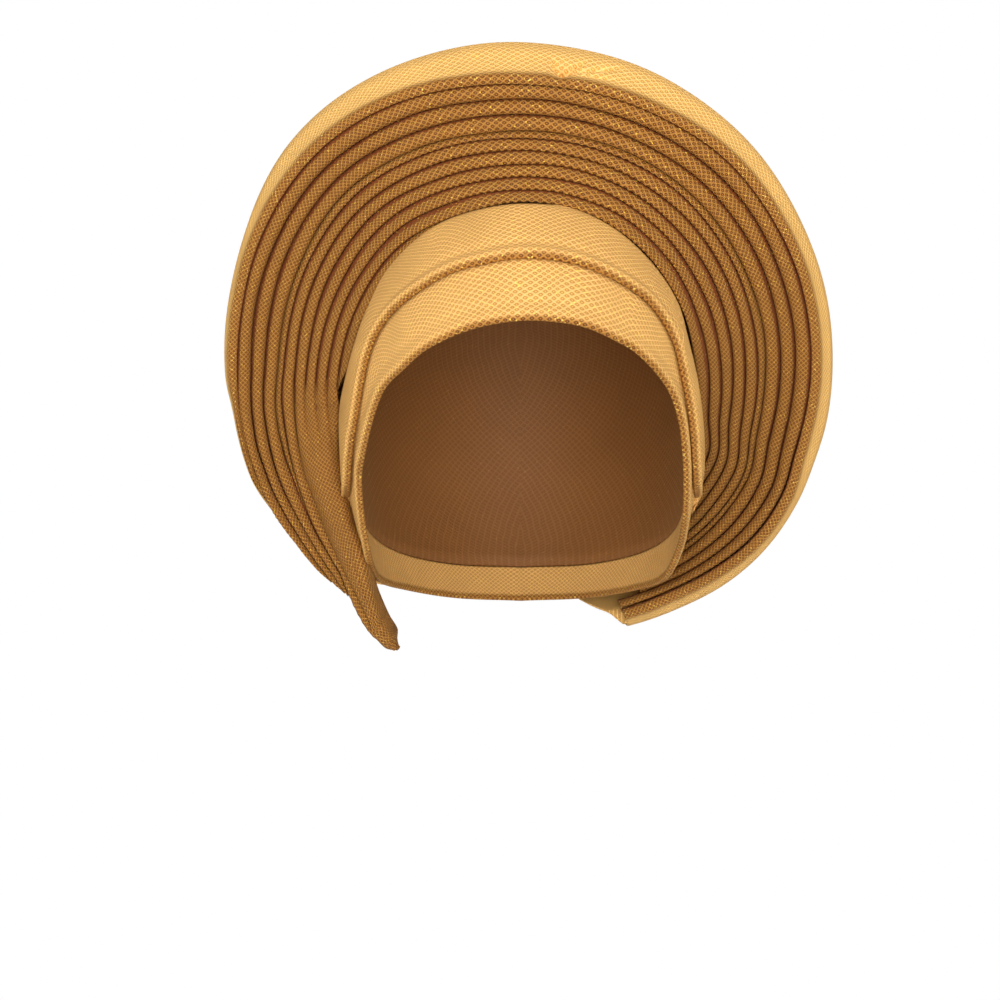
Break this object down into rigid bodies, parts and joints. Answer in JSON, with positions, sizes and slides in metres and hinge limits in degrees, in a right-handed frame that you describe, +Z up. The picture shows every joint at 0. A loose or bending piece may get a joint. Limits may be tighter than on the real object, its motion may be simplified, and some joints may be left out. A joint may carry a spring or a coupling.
{
  "type": "pleated turban",
  "caption": "Pre-tied pleated turban: a fan of rope-like cloth folds standing round the head, two forehead bands, a tail at the left jaw and a smooth back drape.",
  "frame": {"origin": "where the top of the head touches the inside of the crown", "axes": "+Z up the head, +Y to the back of the head; the face opening looks along -Y"},
  "size_m": [0.2611, 0.2135, 0.2581],
  "materials": {
    "band_cloth": "golden-yellow jacquard with a fine diamond weave, satin sparkle, smooth over the forehead",
    "pleat_cloth": "the same golden jacquard folded into ropes, with a row of woven eyelets along each crown",
    "drape_cloth": "the same golden jacquard, drawn smooth over the rim and the back",
    "inner_cloth": "the same golden jacquard, plain inner wrap"
  },
  "bodies": {
    "root": {"crown_wrap": "inner_cloth", "band_lower": "band_cloth", "band_upper": "band_cloth", "pleat_02": "pleat_cloth", "pleat_03": "pleat_cloth", "pleat_04": "pleat_cloth", "pleat_05": "pleat_cloth", "pleat_06": "pleat_cloth", "pleat_07": "pleat_cloth", "pleat_08": "pleat_cloth", "pleat_09": "pleat_cloth", "pleat_10": "pleat_cloth", "pleat_11": "pleat_cloth", "swath_left": "pleat_cloth", "tail_left": "pleat_cloth", "outer_drape": "drape_cloth"}
  },
  "joints": []
}
